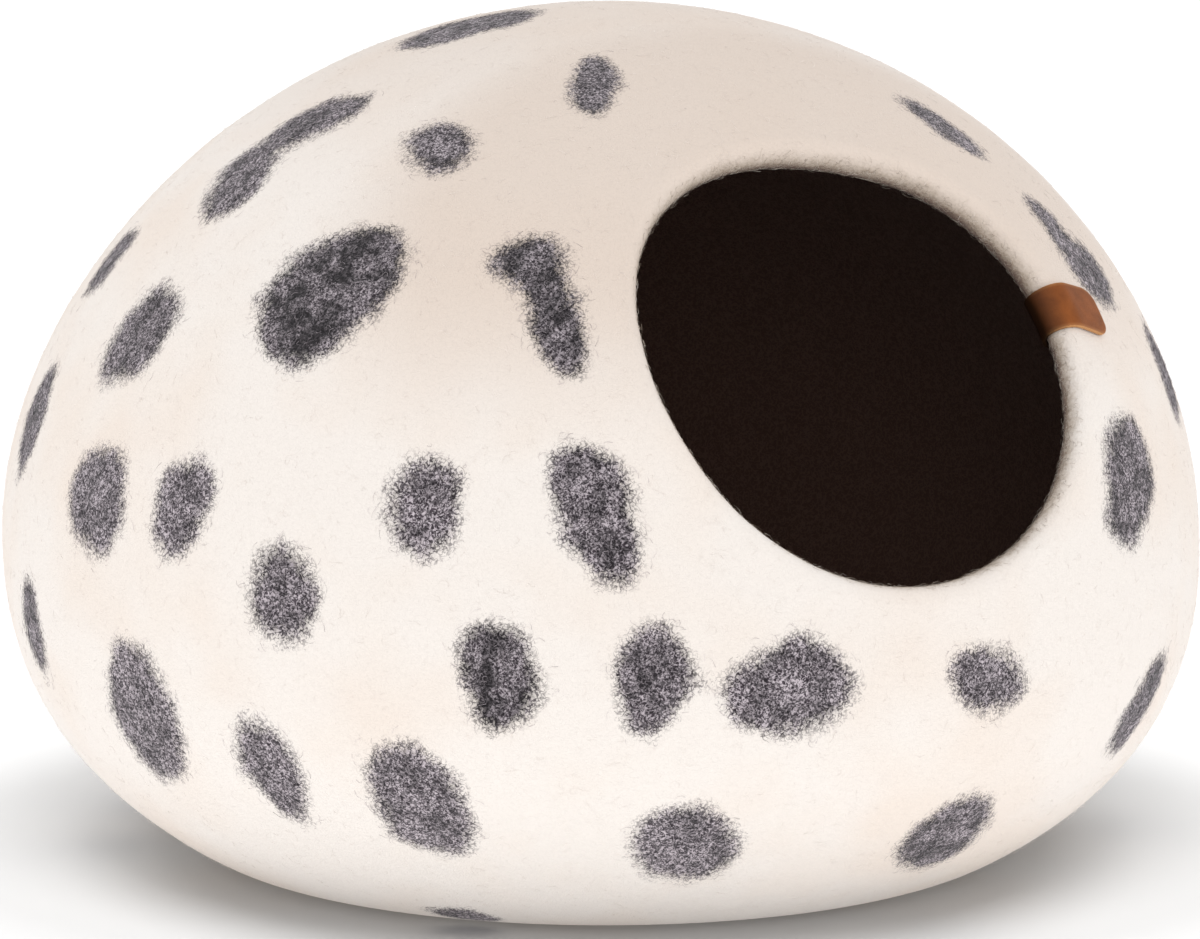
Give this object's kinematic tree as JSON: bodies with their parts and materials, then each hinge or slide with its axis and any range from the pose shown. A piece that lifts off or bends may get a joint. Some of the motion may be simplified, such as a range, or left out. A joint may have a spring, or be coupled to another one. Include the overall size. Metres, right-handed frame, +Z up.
{
  "type": "felt cat cave",
  "caption": "Round hollow cat bed of one-piece grey-spotted white wool felt, with a flat base, a tilted round mouth and a small leather tab folded over its rim.",
  "frame": {"origin": "on the floor, under the middle of the shell's bounding box", "axes": "+Z up; the mouth looks along -Y and about 32 degrees up; +X is to the right for someone who faces the mouth"},
  "size_m": [0.49, 0.4908, 0.346],
  "materials": {
    "wool_felt": "matte wet-felted wool, warm white with salt-and-pepper charcoal spots outside and dark charcoal inside",
    "tan_leather": "smooth waxed tan leather with lighter cut edges"
  },
  "bodies": {
    "root": {"felt_shell": "wool_felt", "leather_tab": "tan_leather"}
  },
  "joints": []
}
